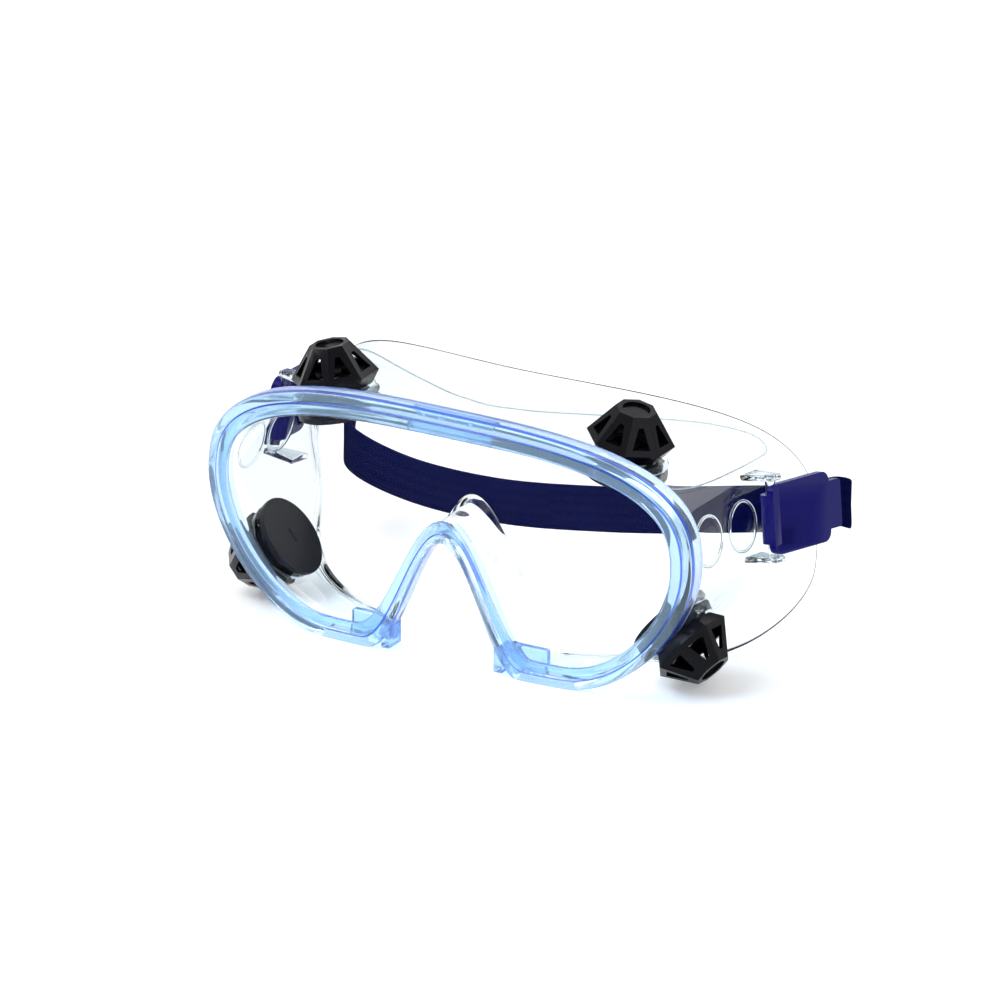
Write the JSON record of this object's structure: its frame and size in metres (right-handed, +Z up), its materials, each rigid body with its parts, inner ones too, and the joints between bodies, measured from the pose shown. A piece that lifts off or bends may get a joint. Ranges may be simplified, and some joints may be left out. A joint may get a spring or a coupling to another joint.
{
  "type": "safety goggles",
  "caption": "Clear soft-framed splash goggles with a snap-in lens, indirect vents on all four corners and an elastic headband on swinging side clips.",
  "frame": {"origin": "on the table, under the middle of the goggles' box", "axes": "+X to the wearer's left, +Y towards the wearer's face, +Z up"},
  "size_m": [0.1848, 0.0906, 0.0839],
  "materials": {
    "clear_soft_frame": "clear soft PVC, faint blue, glossy",
    "clear_lens": "clear polycarbonate, polished",
    "black_vent": "black moulded plastic, satin",
    "black_vent_inner": "black moulded plastic, smooth",
    "navy_clip": "navy moulded plastic, satin",
    "navy_elastic": "woven navy elastic webbing"
  },
  "bodies": {
    "frame": {"frame_body": "clear_soft_frame", "lens": "clear_lens", "vent_cap_upper_left": "black_vent", "vent_grommet_upper_left": "black_vent_inner", "vent_shield_upper_left": "black_vent_inner", "vent_cap_upper_right": "black_vent", "vent_grommet_upper_right": "black_vent_inner", "vent_shield_upper_right": "black_vent_inner", "vent_cap_lower_left": "black_vent", "vent_grommet_lower_left": "black_vent_inner", "vent_shield_lower_left": "black_vent_inner", "vent_cap_lower_right": "black_vent", "vent_grommet_lower_right": "black_vent_inner", "vent_shield_lower_right": "black_vent_inner", "headband": "navy_elastic"},
    "clip_left": {"strap_clip_left": "navy_clip", "band_end_left": "navy_elastic"},
    "clip_right": {"strap_clip_right": "navy_clip", "band_end_right": "navy_elastic"}
  },
  "joints": [
    {"name": "clip_left_swing", "type": "hinge", "parent": "frame", "child": "clip_left", "pos_m": [0.084, 0.0042, 0.046], "axis": [0.1545, -0.1564, -0.9755], "range_deg": [0, 90], "deforming": ["headband"]},
    {"name": "clip_right_swing", "type": "hinge", "parent": "frame", "child": "clip_right", "pos_m": [-0.084, 0.0042, 0.046], "axis": [0.1545, 0.1564, 0.9755], "range_deg": [0, 90], "deforming": ["headband"]}
  ]
}
